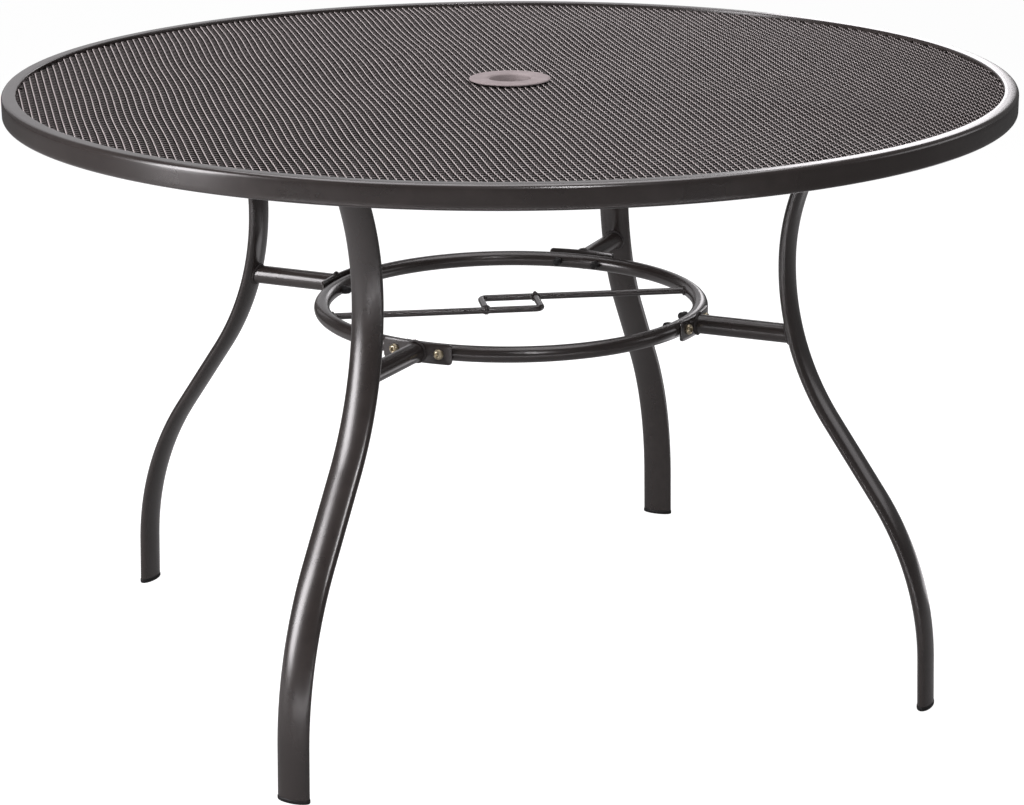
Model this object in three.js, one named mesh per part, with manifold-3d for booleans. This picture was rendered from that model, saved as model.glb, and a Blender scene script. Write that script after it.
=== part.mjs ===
// Round garden table with a meshed top, an umbrella hole, four S-curved legs and a
// stabiliser ring. Millimetres, +Z up, origin on the floor under the table's centre.
// The legs stand near the diagonals of X and Y, up to 2 degrees off them, as on the
// photographed table; the front is the -Y side.
import * as THREE from "three";
import { mergeVertices } from "three/addons/utils/BufferGeometryUtils.js";
import Module from "manifold-3d";

const wasm = await Module();
wasm.setup();

// ---------- driving dimensions ----------
const GAP = 0.3; // air left between touching pieces

const TABLE_R = 600; // outer radius of the rim
const TABLE_H = 720; // height of the rim's top
const RIM_W = 17; // rim section, radial
const RIM_HT = 27; // rim section, vertical
const RIM_TOP_CORNER = 5;
const RIM_LOW_CORNER = 2.8;
const RIM_SIDES = 96;

const MESH_TOP_Z = 716.6; // top of the mesh sheet, a little below the rim
const MESH_T = 5; // thickness over the tilted strands
const MESH_HOLE_R = 30;

const INSERT_FLANGE_R = 49;
const INSERT_FLANGE_T = 3.4;
const INSERT_SLEEVE_R = 28;
const INSERT_BORE_R = 25; // takes an umbrella pole of up to 48 mm
const INSERT_LENGTH = 24; // sleeve below the flange
const INSERT_SIDES = 40;

const HUB_R = 36;
const HUB_BORE_R = 30;
const BAR_W = 25; // support bar, a rectangular tube
const BAR_H = 18;
const BAR_WALL = 2;

const LEG_A = 20; // half of the leg tube's width, across the leg
const LEG_B = 8.5; // half of its depth, in the leg's own plane
const LEG_SIDES = 16;
const LEG_STEPS = 26;
const KNEE_R = 353; // radius of the leg's centreline where it is nearest the axis
const KNEE_Z = 530; // height there
const UPPER_BEND = 260; // bend radius above the knee
const MIDDLE_BEND = 332; // bend radius below the knee
const LOWER_BEND = 362; // bend radius of the outward sweep to the foot
const SLOPE_DEG = 34.8; // steepest lean between the two bends
const FOOT_LEAN_DEG = 2; // lean left at the foot

const FOOT_CAP_H = 5;
const FOOT_PLUG_H = 16;
const FOOT_WALL = 2; // leg tube wall at the foot's socket

const PLATE_L = 110; // leg mounting plate, along the radius
const PLATE_W = 40;
const PLATE_T = 3;
const LEG_BOLT_IN = 369; // radius of the two bolts of each plate
const LEG_BOLT_OUT = 445;

const RING_R = 231; // stabiliser ring, centreline
const RING_TUBE_R = 9.5;
const RING_Z = 441;
const RING_SIDES = 56;
const RING_TUBE_SIDES = 10;

const BRACE_R = 11.5; // brace tube
const BRACKET_HALF_DEG = 10.5; // half of the bracket's sweep round the ring
const BRACKET_HT = 24;
const BRACKET_T = 3;
const RING_BOLT_DEG = 6.8; // bolts stand this far each side of the brace
const BOLT_R = 3; // M6
const BOLT_HOLE_R = 3.35;

const KEEPER_R = 4; // keeper rod
const KEEPER_TURN_DEG = -12.5; // direction of the two rods seen from above
const KEEPER_HALF_L = 34; // half of the loop along the rods, axis to axis
const KEEPER_HALF_W = 28.75; // half of the loop across the rods
const KEEPER_BEND = 8;

// ---------- finishes ----------
const coat = { color: 0x3f3b39, roughness: 0.38, metalness: 0.35 };
const coatMesh = { color: 0x4a4645, roughness: 0.42, metalness: 0.35 };
const taupe = { color: 0x9a8f8d, roughness: 0.62, metalness: 0.0 };
const blackPlastic = { color: 0x161514, roughness: 0.6, metalness: 0.0 };
const zinc = { color: 0xb5a06c, roughness: 0.35, metalness: 0.9 };
const steel = { color: 0x8d8f92, roughness: 0.35, metalness: 0.9 };

// ---------- solid helpers ----------
const rad = (d) => (d * Math.PI) / 180;

function solidOf(geometry, matrix) {
  let g = geometry.clone();
  for (const key of Object.keys(g.attributes)) {
    if (key !== "position") g.deleteAttribute(key);
  }
  if (matrix) g.applyMatrix4(matrix);
  g = mergeVertices(g, 1e-4);
  const index = Array.from(g.index.array);
  const position = g.attributes.position.array;
  const triangles = [];
  let volume = 0;
  for (let i = 0; i < index.length; i += 3) {
    const [a, b, c] = index.slice(i, i + 3);
    if (a === b || b === c || c === a) continue;
    triangles.push(a, b, c);
    const [ax, ay, az] = position.slice(3 * a, 3 * a + 3);
    const [bx, by, bz] = position.slice(3 * b, 3 * b + 3);
    const [cx, cy, cz] = position.slice(3 * c, 3 * c + 3);
    volume += ax * (by * cz - bz * cy) + ay * (bz * cx - bx * cz) + az * (bx * cy - by * cx);
  }
  if (volume < 0) {
    for (let i = 0; i < triangles.length; i += 3) {
      [triangles[i + 1], triangles[i + 2]] = [triangles[i + 2], triangles[i + 1]];
    }
  }
  return new wasm.Manifold(
    new wasm.Mesh({
      numProp: 3,
      vertProperties: new Float32Array(position),
      triVerts: new Uint32Array(triangles),
    }),
  );
}

function geometryOf(solid) {
  const mesh = solid.getMesh();
  const n = mesh.vertProperties.length / mesh.numProp;
  const position = new Float32Array(n * 3);
  for (let i = 0; i < n; i++) {
    for (let k = 0; k < 3; k++) position[3 * i + k] = mesh.vertProperties[mesh.numProp * i + k];
  }
  const g = new THREE.BufferGeometry();
  g.setAttribute("position", new THREE.BufferAttribute(position, 3));
  g.setIndex(new THREE.BufferAttribute(new Uint32Array(mesh.triVerts), 1));
  g.computeVertexNormals();
  return g;
}

const moveTo = (x, y, z) => new THREE.Matrix4().makeTranslation(x, y, z);
const turnZ = (degrees) => new THREE.Matrix4().makeRotationZ(rad(degrees));

// a turned solid about Z from a closed profile of [radius, height] points
function turned(points, sides) {
  const closed = [...points, points[0]].map(([r, z]) => new THREE.Vector2(r, z));
  const g = new THREE.LatheGeometry(closed, sides);
  g.rotateX(Math.PI / 2);
  return g;
}

// an upright prism of a shape between two heights
function prism(shape, z0, z1, curveSegments = 12) {
  const g = new THREE.ExtrudeGeometry(shape, { depth: z1 - z0, bevelEnabled: false, curveSegments });
  g.translate(0, 0, z0);
  return g;
}

function ellipse(a, b, sides) {
  const points = [];
  for (let i = 0; i < sides; i++) {
    const t = (2 * Math.PI * (i + 0.5)) / sides;
    points.push(new THREE.Vector2(a * Math.cos(t), b * Math.sin(t)));
  }
  return new THREE.Shape(points);
}

// a cylinder whose axis runs along +X from x0 to x1 at height z
function barrelX(radius, x0, x1, z, sides = 10, y = 0) {
  const g = new THREE.CylinderGeometry(radius, radius, x1 - x0, sides);
  g.rotateZ(Math.PI / 2);
  g.translate((x0 + x1) / 2, y, z);
  return g;
}

function barrelZ(radius, x, y, z0, z1, sides = 10) {
  const g = new THREE.CylinderGeometry(radius, radius, z1 - z0, sides);
  g.rotateX(Math.PI / 2);
  g.translate(x, y, (z0 + z1) / 2);
  return g;
}

function block(x0, x1, y0, y1, z0, z1) {
  const g = new THREE.BoxGeometry(x1 - x0, y1 - y0, z1 - z0);
  g.translate((x0 + x1) / 2, (y0 + y1) / 2, (z0 + z1) / 2);
  return g;
}

// a path of straight stretches and arcs in one plane, sampled by length
class BentPath extends THREE.Curve {
  // start: Vector3, heading: unit Vector3, side: unit Vector3 that a positive turn leans to
  constructor(start, heading, side, legs) {
    super();
    this.parts = [];
    let p = start.clone();
    let h = heading.clone();
    let s = side.clone();
    let at = 0;
    for (const leg of legs) {
      const length = leg.radius ? leg.radius * Math.abs(leg.turn) : leg.length;
      this.parts.push({ ...leg, p: p.clone(), h: h.clone(), s: s.clone(), at, length });
      [p, h, s] = this.along(this.parts[this.parts.length - 1], length);
      at += length;
    }
    this.total = at;
  }
  along(part, d) {
    if (!part.radius) {
      return [part.p.clone().addScaledVector(part.h, d), part.h.clone(), part.s.clone()];
    }
    const sign = Math.sign(part.turn);
    const a = d / part.radius;
    const out = part.p
      .clone()
      .addScaledVector(part.h, part.radius * Math.sin(a))
      .addScaledVector(part.s, sign * part.radius * (1 - Math.cos(a)));
    const h = part.h.clone().multiplyScalar(Math.cos(a)).addScaledVector(part.s, sign * Math.sin(a));
    const s = part.s.clone().multiplyScalar(Math.cos(a)).addScaledVector(part.h, -sign * Math.sin(a));
    return [out, h, s];
  }
  getPoint(t, target = new THREE.Vector3()) {
    const d = Math.min(Math.max(t, 0), 1) * this.total;
    let part = this.parts[0];
    for (const p of this.parts) if (d >= p.at) part = p;
    return target.copy(this.along(part, d - part.at)[0]);
  }
  getPointAt(t, target) {
    return this.getPoint(t, target);
  }
  getTangent(t, target = new THREE.Vector3()) {
    const d = Math.min(Math.max(t, 0), 1) * this.total;
    let part = this.parts[0];
    for (const p of this.parts) if (d >= p.at) part = p;
    return target.copy(this.along(part, d - part.at)[1]);
  }
  getTangentAt(t, target) {
    return this.getTangent(t, target);
  }
  getSpacedPoints(n = 5) {
    return Array.from({ length: n + 1 }, (_, i) => this.getPoint(i / n));
  }
}

function swept(shape, path, steps) {
  return new THREE.ExtrudeGeometry(shape, { extrudePath: path, steps, bevelEnabled: false, curveSegments: 4 });
}

// ---------- scene graph ----------
const group = new THREE.Group();
const corners = {
  front_left: 223,
  front_right: 315.7,
  back_right: 47,
  back_left: 134.3,
};

function addPiece(parent, name, solid, finish) {
  const mesh = new THREE.Mesh(geometryOf(solid), new THREE.MeshStandardMaterial(finish));
  mesh.name = name;
  parent.add(mesh);
  return mesh;
}

const top = new THREE.Group();
const base = new THREE.Group();
group.add(top, base);
const quarter = {};
for (const [corner, degrees] of Object.entries(corners)) {
  quarter[corner] = new THREE.Group();
  quarter[corner].rotation.z = rad(degrees);
  base.add(quarter[corner]);
}

// ---------- rim: rectangular tube rolled into a circle, soft outer edges ----------
const rimIn = TABLE_R - RIM_W;
const rimLow = TABLE_H - RIM_HT;
{
  const c = RIM_TOP_CORNER;
  const k = RIM_LOW_CORNER;
  addPiece(
    top,
    "rim_frame",
    solidOf(
      turned(
        [
          [rimIn, rimLow + 1],
          [rimIn + 1, rimLow],
          [TABLE_R - k, rimLow],
          [TABLE_R - k * 0.3, rimLow + k * 0.3],
          [TABLE_R, rimLow + k],
          [TABLE_R, TABLE_H - c],
          [TABLE_R - c * 0.3, TABLE_H - c * 0.3],
          [TABLE_R - c, TABLE_H],
          [rimIn + 1.6, TABLE_H],
          [rimIn, TABLE_H - 1.6],
        ],
        RIM_SIDES,
      ),
    ),
    coat,
  );
}

// ---------- mesh sheet: a disc with the umbrella hole through it ----------
// the rim is a polygon, so the sheet's corners stay on the same spokes as the rim's
const meshLow = MESH_TOP_Z - MESH_T;
addPiece(
  top,
  "mesh_top",
  solidOf(
    turned(
      [
        [MESH_HOLE_R, meshLow],
        [rimIn - GAP, meshLow],
        [rimIn - GAP, MESH_TOP_Z],
        [MESH_HOLE_R, MESH_TOP_Z],
      ],
      RIM_SIDES,
    ),
  ),
  coatMesh,
);

// ---------- umbrella insert: flanged plastic sleeve that lifts out ----------
{
  const z0 = MESH_TOP_Z + GAP;
  const z1 = z0 + INSERT_FLANGE_T;
  addPiece(
    top,
    "umbrella_insert",
    solidOf(
      turned(
        [
          [INSERT_BORE_R, z0 - INSERT_LENGTH],
          [INSERT_SLEEVE_R - 0.6, z0 - INSERT_LENGTH],
          [INSERT_SLEEVE_R, z0 - INSERT_LENGTH + 2],
          [INSERT_SLEEVE_R, z0],
          [INSERT_FLANGE_R, z0],
          [INSERT_FLANGE_R, z0 + 1.2],
          [INSERT_FLANGE_R - 2.6, z1],
          [INSERT_BORE_R + 1.5, z1],
          [INSERT_BORE_R, z1 - 1.5],
        ],
        INSERT_SIDES,
      ),
    ),
    taupe,
  );
}

// ---------- hub under the mesh ----------
const hubHigh = meshLow - GAP;
const hubLow = hubHigh - BAR_H;
addPiece(
  top,
  "hub_ring",
  solidOf(
    turned(
      [
        [HUB_BORE_R, hubLow],
        [HUB_R, hubLow],
        [HUB_R, hubHigh],
        [HUB_BORE_R, hubHigh],
      ],
      32,
    ),
  ),
  coat,
);

// ---------- the leg's centreline, in the plane of X (outwards) and Z ----------
const slope = rad(SLOPE_DEG);
const lean = rad(FOOT_LEAN_DEG);
const plateHigh = hubLow - GAP;
const plateLow = plateHigh - PLATE_T;
const legHigh = plateLow - GAP;
// height and radius where the straight stretch meets the bends
const midTopZ = KNEE_Z - MIDDLE_BEND * Math.sin(slope);
const midTopR = KNEE_R + MIDDLE_BEND * (1 - Math.cos(slope));
const lowTurn = slope - lean;
const lowDz = LOWER_BEND * (Math.sin(slope) - Math.sin(lean));
const lowDr = LOWER_BEND * (Math.cos(lean) - Math.cos(slope));
const FOOT_STRAIGHT_Z = 60; // the last stretch above the floor is straight
const straight = (midTopZ - FOOT_STRAIGHT_Z - lowDz) / Math.cos(slope);
const footR = midTopR + straight * Math.sin(slope) + lowDr + FOOT_STRAIGHT_Z * Math.tan(lean);
const topTurn = Math.asin(Math.min(1, (legHigh + 14 - KNEE_Z) / UPPER_BEND));
const below = 12; // the path starts under the floor and is cut level
function legPath() {
  const start = new THREE.Vector3(footR + below * Math.tan(lean), 0, -below);
  const heading = new THREE.Vector3(-Math.sin(lean), 0, Math.cos(lean));
  const side = new THREE.Vector3(-Math.cos(lean), 0, -Math.sin(lean));
  return new BentPath(start, heading, side, [
    { length: (FOOT_STRAIGHT_Z + below) / Math.cos(lean) },
    { radius: LOWER_BEND, turn: lowTurn },
    { length: straight },
    { radius: MIDDLE_BEND, turn: -slope },
    { radius: UPPER_BEND, turn: -topTurn },
  ]);
}

function legSolid(grow) {
  return solidOf(swept(ellipse(LEG_A + grow, LEG_B + grow, LEG_SIDES), legPath(), LEG_STEPS));
}

const legBottom = FOOT_CAP_H + GAP;
const footCentre = footR - (legBottom * Math.tan(lean));
const trim = (solid, z0, z1) =>
  solid.intersect(solidOf(block(200, 700, -60, 60, z0, z1)));

const plugA = LEG_A - FOOT_WALL - GAP;
const plugB = LEG_B - FOOT_WALL - GAP;
const socket = solidOf(
  prism(ellipse(LEG_B - FOOT_WALL, LEG_A - FOOT_WALL, 16), legBottom - 5, legBottom + FOOT_PLUG_H + 1),
  moveTo(footCentre - 0.5, 0, 0),
);

const legTube = trim(legSolid(0), legBottom, legHigh).subtract(socket);
const legKeepOut = legSolid(GAP);

const footCap = solidOf(prism(ellipse(LEG_B + 0.6, LEG_A + 0.6, 20), 0, FOOT_CAP_H), moveTo(footCentre, 0, 0)).add(
  solidOf(
    prism(ellipse(plugB, plugA, 16), FOOT_CAP_H - 1, legBottom + FOOT_PLUG_H),
    moveTo(footCentre - 0.5, 0, 0),
  ),
);

// ---------- mounting plate at the leg's top ----------
const legTopR = KNEE_R + UPPER_BEND - Math.sqrt(UPPER_BEND ** 2 - (legHigh - KNEE_Z) ** 2);
const plateMid = (LEG_BOLT_IN + LEG_BOLT_OUT) / 2;
let mountPlate = solidOf(
  block(plateMid - PLATE_L / 2, plateMid + PLATE_L / 2, -PLATE_W / 2, PLATE_W / 2, plateLow, plateHigh),
);
for (const r of [LEG_BOLT_IN, LEG_BOLT_OUT]) {
  mountPlate = mountPlate.subtract(solidOf(barrelZ(BOLT_HOLE_R, r, 0, plateLow - 5, plateHigh + 5)));
}

// ---------- support bar: rectangular tube from the hub to the rim ----------
let supportBar = solidOf(block(HUB_R + GAP, rimIn - 1.1, -BAR_W / 2, BAR_W / 2, hubLow, hubHigh)).subtract(
  solidOf(
    block(
      HUB_R - 5,
      rimIn + 5,
      -BAR_W / 2 + BAR_WALL,
      BAR_W / 2 - BAR_WALL,
      hubLow + BAR_WALL,
      hubHigh - BAR_WALL,
    ),
  ),
);
for (const r of [LEG_BOLT_IN, LEG_BOLT_OUT]) {
  supportBar = supportBar.subtract(solidOf(barrelZ(BOLT_HOLE_R, r, 0, hubLow - 3, hubLow + BAR_WALL + 3)));
}

// ---------- hexagon bolt from below, through the plate into the bar ----------
function legBolt(r) {
  return solidOf(barrelZ(5.6, r, 0, plateLow - GAP - 4, plateLow - GAP, 6)).add(
    solidOf(barrelZ(BOLT_R, r, 0, plateLow - GAP - 1, hubLow + BAR_WALL + 8)),
  );
}

// ---------- brace: round tube from the leg's inner face to the ring bracket ----------
const bracketIn = RING_R + RING_TUBE_R + GAP;
const bracketOut = bracketIn + BRACKET_T;
const ringCylinder = (radius, z0, z1, sides) => {
  const g = new THREE.CylinderGeometry(radius, radius, z1 - z0, sides);
  g.rotateX(Math.PI / 2);
  g.translate(0, 0, (z0 + z1) / 2);
  return g;
};
const brace = solidOf(barrelX(BRACE_R, bracketIn - 20, KNEE_R + 20, RING_Z, 14))
  .subtract(legKeepOut)
  .subtract(solidOf(ringCylinder(bracketOut + GAP, RING_Z - 40, RING_Z + 40, 180)))
  // only the stretch on the inner side of the leg stays
  .intersect(solidOf(block(bracketIn - 25, KNEE_R + 8, -40, 40, RING_Z - 40, RING_Z + 40)));

// ---------- bracket: plate rolled to the ring's curve ----------
function bracketShape() {
  const n = 7;
  const points = [];
  for (let i = 0; i <= n; i++) {
    const a = rad(-BRACKET_HALF_DEG + (2 * BRACKET_HALF_DEG * i) / n);
    points.push(new THREE.Vector2(bracketOut * Math.cos(a), bracketOut * Math.sin(a)));
  }
  for (let i = n; i >= 0; i--) {
    const a = rad(-BRACKET_HALF_DEG + (2 * BRACKET_HALF_DEG * i) / n);
    points.push(new THREE.Vector2(bracketIn * Math.cos(a), bracketIn * Math.sin(a)));
  }
  return new THREE.Shape(points);
}
let bracket = solidOf(prism(bracketShape(), RING_Z - BRACKET_HT / 2, RING_Z + BRACKET_HT / 2));
for (const s of [-1, 1]) {
  bracket = bracket.subtract(
    solidOf(barrelX(BOLT_HOLE_R, bracketIn - 8, bracketOut + 8, RING_Z), turnZ(s * RING_BOLT_DEG)),
  );
}

// ---------- ring bolt with a domed head outside, and a cap nut inside ----------
const ringInner = RING_R - RING_TUBE_R;
function ringBolt() {
  // profile along the axis: [radius, distance from the ring's centre]
  const head = new THREE.LatheGeometry(
    [
      [0, bracketOut + GAP + 4.6],
      [4.3, bracketOut + GAP + 3.7],
      [6.3, bracketOut + GAP + 1.1],
      [6.3, bracketOut + GAP],
      [BOLT_R, bracketOut + GAP],
      [BOLT_R, ringInner - 6],
      [0, ringInner - 6],
    ].map(([r, h]) => new THREE.Vector2(r, h)),
    12,
  );
  head.rotateZ(-Math.PI / 2);
  head.translate(0, 0, RING_Z);
  return solidOf(head);
}
function capNut() {
  const at = ringInner - GAP - 0.35; // seat against the ring
  const hex = solidOf(barrelX(5.77, at - 5.5, at, RING_Z, 6));
  const dome = new THREE.LatheGeometry(
    [
      [0, at - 11.4],
      [3.4, at - 10.0],
      [4.9, at - 6.4],
      [4.9, at - 4.5],
      [0, at - 4.5],
    ].map(([r, h]) => new THREE.Vector2(r, h)),
    12,
  );
  dome.rotateZ(-Math.PI / 2);
  dome.translate(0, 0, RING_Z);
  return hex.add(solidOf(dome)).subtract(solidOf(barrelX(BOLT_R + 0.35, at - 7, at + 3, RING_Z, 10)));
}

for (const [corner, parent] of Object.entries(quarter)) {
  addPiece(parent, `support_bar_${corner}`, supportBar, coat);
  addPiece(parent, `leg_plate_${corner}`, mountPlate, coat);
  addPiece(parent, `leg_bolt_inner_${corner}`, legBolt(LEG_BOLT_IN), steel);
  addPiece(parent, `leg_bolt_outer_${corner}`, legBolt(LEG_BOLT_OUT), steel);
  addPiece(parent, `leg_${corner}`, legTube, coat);
  addPiece(parent, `foot_cap_${corner}`, footCap, blackPlastic);
  addPiece(parent, `brace_${corner}`, brace, coat);
  addPiece(parent, `ring_bracket_${corner}`, bracket, coat);
  for (const [suffix, s] of [
    ["a", -1],
    ["b", 1],
  ]) {
    const turn = new THREE.Group();
    turn.rotation.z = rad(s * RING_BOLT_DEG);
    parent.add(turn);
    addPiece(turn, `ring_bolt_${suffix}_${corner}`, ringBolt(), zinc);
    addPiece(turn, `cap_nut_${suffix}_${corner}`, capNut(), blackPlastic);
  }
}

// ---------- stabiliser ring ----------
function torus(tubeR) {
  return solidOf(
    new THREE.TorusGeometry(RING_R, tubeR, RING_TUBE_SIDES, RING_SIDES),
    moveTo(0, 0, RING_Z),
  );
}
let ring = torus(RING_TUBE_R);
for (const degrees of Object.values(corners)) {
  for (const s of [-1, 1]) {
    ring = ring.subtract(
      solidOf(barrelX(BOLT_HOLE_R, RING_R - 20, RING_R + 20, RING_Z, 12), turnZ(degrees + s * RING_BOLT_DEG)),
    );
  }
}
addPiece(base, "stabiliser_ring", ring, coat);

// ---------- keeper: two bent rods that form the loop round the umbrella pole ----------
const ringKeepOut = torus(RING_TUBE_R + GAP);
const outsideRing = solidOf(turned(
  [
    [RING_R, RING_Z - 40],
    [RING_R + 60, RING_Z - 40],
    [RING_R + 60, RING_Z + 40],
    [RING_R, RING_Z + 40],
  ],
  64,
));
function keeperRod() {
  const start = new THREE.Vector3(-RING_R - 10, -KEEPER_HALF_W, RING_Z);
  // the short leg ends against the other rod, where it is welded
  const path = new BentPath(start, new THREE.Vector3(1, 0, 0), new THREE.Vector3(0, 1, 0), [
    { length: RING_R + 10 + KEEPER_HALF_L - KEEPER_BEND },
    { radius: KEEPER_BEND, turn: Math.PI / 2 },
    { length: 2 * KEEPER_HALF_W - KEEPER_BEND - KEEPER_R - GAP },
  ]);
  // the long straight is one stretch; the bend is sampled finely
  const long = path.parts[0];
  const bend = path.parts[1];
  const last = path.parts[2];
  const stations = [0, long.length];
  const bendSteps = 6;
  for (let i = 1; i <= bendSteps; i++) stations.push(bend.at + (bend.length * i) / bendSteps);
  stations.push(last.at + last.length);
  const picked = {
    getSpacedPoints: () => stations.map((d) => path.getPoint(d / path.total)),
    computeFrenetFrames: () => {
      const tangents = stations.map((d) => path.getTangent(d / path.total));
      const up = new THREE.Vector3(0, 0, 1);
      return {
        tangents,
        normals: tangents.map(() => up.clone()),
        binormals: tangents.map((t) => t.clone().cross(up)),
      };
    },
  };
  const rod = new THREE.ExtrudeGeometry(ellipse(KEEPER_R, KEEPER_R, 10), {
    extrudePath: picked,
    steps: stations.length - 1,
    bevelEnabled: false,
  });
  return solidOf(rod).subtract(ringKeepOut).subtract(outsideRing);
}
for (const [name, degrees] of [
  ["keeper_rod_front", KEEPER_TURN_DEG],
  ["keeper_rod_back", KEEPER_TURN_DEG + 180],
]) {
  const holder = new THREE.Group();
  holder.rotation.z = rad(degrees);
  base.add(holder);
  addPiece(holder, name, keeperRod(), coat);
}

export default group;
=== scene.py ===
"""Umbrella table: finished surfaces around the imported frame. Metres, +Z up, the frame's own axes."""

import math

import bmesh
import bpy
import numpy as np
from mathutils import Matrix, Vector


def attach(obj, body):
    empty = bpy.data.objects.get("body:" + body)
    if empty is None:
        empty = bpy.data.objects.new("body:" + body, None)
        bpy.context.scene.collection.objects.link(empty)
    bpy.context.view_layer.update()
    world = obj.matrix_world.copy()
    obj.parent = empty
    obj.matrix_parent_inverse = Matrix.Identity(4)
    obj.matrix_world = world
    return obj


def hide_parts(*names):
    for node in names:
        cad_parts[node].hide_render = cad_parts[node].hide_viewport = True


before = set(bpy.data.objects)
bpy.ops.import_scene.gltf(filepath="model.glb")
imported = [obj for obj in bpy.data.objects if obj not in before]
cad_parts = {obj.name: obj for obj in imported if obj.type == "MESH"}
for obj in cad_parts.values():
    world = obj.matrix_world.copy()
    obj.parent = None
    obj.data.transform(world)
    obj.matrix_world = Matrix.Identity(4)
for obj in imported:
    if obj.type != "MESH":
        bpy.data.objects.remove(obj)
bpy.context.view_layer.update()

# ------------------------------------------------------------------ dimensions
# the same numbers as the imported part, in millimetres
MM = 0.001
TABLE_R, TABLE_H = 600.0, 720.0
RIM_W, RIM_HT = 17.0, 27.0
SHEET_TOP, SHEET_T = 716.6, 5.0
HOLE_R = 30.0
RIM_IN = TABLE_R - RIM_W
HUB_R, HUB_BORE = 36.0, 30.0
BAR_W, BAR_H, BAR_WALL = 25.0, 18.0, 2.0
GAP = 0.3
HUB_HIGH = SHEET_TOP - SHEET_T - GAP
HUB_LOW = HUB_HIGH - BAR_H
PLATE_HIGH = HUB_LOW - GAP
PLATE_LOW = PLATE_HIGH - 3.0
LEG_HIGH = PLATE_LOW - GAP
LEG_A, LEG_B = 20.0, 8.5
KNEE_R, KNEE_Z = 353.0, 530.0
UPPER_BEND, MIDDLE_BEND, LOWER_BEND = 260.0, 332.0, 362.0
SLOPE, LEAN = math.radians(34.8), math.radians(2.0)
FOOT_CAP_H, FOOT_STRAIGHT = 5.0, 60.0
RING_R, RING_TUBE, RING_Z = 231.0, 9.5, 441.0
BRACE_R = 11.5
BRACKET_IN = RING_R + RING_TUBE + GAP
BRACKET_OUT = BRACKET_IN + 3.0
BRACKET_HALF, BRACKET_H = math.radians(10.5), 24.0
BOLT_DEG = 6.8
KEEPER_R, KEEPER_TURN = 4.0, -12.5
KEEPER_L, KEEPER_W, KEEPER_BEND = 34.0, 28.75, 8.0
CORNERS = {"front_left": 223.0, "front_right": 315.7, "back_right": 47.0, "back_left": 134.3}
LEG_BOLTS = {"inner": 369.0, "outer": 445.0}
PLATE_MID = 407.0


# ------------------------------------------------------------------ materials
def material(name):
    m = bpy.data.materials.new(name)
    m.use_nodes = True
    return m, m.node_tree.nodes, m.node_tree.links, m.node_tree.nodes["Principled BSDF"]


def srgb(r, g, b):
    def one(c):
        c /= 255.0
        return c / 12.92 if c <= 0.04045 else ((c + 0.055) / 1.055) ** 2.4

    return (one(r), one(g), one(b), 1.0)


def noise_node(nodes, links, coord, scale, detail=3.0, rough=0.55, distortion=0.0):
    n = nodes.new("ShaderNodeTexNoise")
    n.inputs["Scale"].default_value = scale
    n.inputs["Detail"].default_value = detail
    n.inputs["Roughness"].default_value = rough
    n.inputs["Distortion"].default_value = distortion
    links.new(coord, n.inputs["Vector"])
    return n


def ramp_node(nodes, links, source, stops):
    r = nodes.new("ShaderNodeValToRGB")
    while len(r.color_ramp.elements) < len(stops):
        r.color_ramp.elements.new(0.5)
    for e, (at, colour) in zip(r.color_ramp.elements, stops):
        e.position = at
        e.color = colour
    links.new(source, r.inputs["Fac"])
    return r


def mix_node(nodes, links, fac, a, b, blend="MIX"):
    m = nodes.new("ShaderNodeMix")
    m.data_type = "RGBA"
    m.blend_type = blend
    for socket, value in ((m.inputs["Factor"], fac), (m.inputs["A"], a), (m.inputs["B"], b)):
        if isinstance(value, bpy.types.NodeSocket):
            links.new(value, socket)
        else:
            socket.default_value = value
    return m.outputs["Result"]


def map_node(nodes, links, source, low, high, to_low, to_high):
    m = nodes.new("ShaderNodeMapRange")
    m.inputs["From Min"].default_value = low
    m.inputs["From Max"].default_value = high
    m.inputs["To Min"].default_value = to_low
    m.inputs["To Max"].default_value = to_high
    links.new(source, m.inputs["Value"])
    return m.outputs["Result"]


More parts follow.
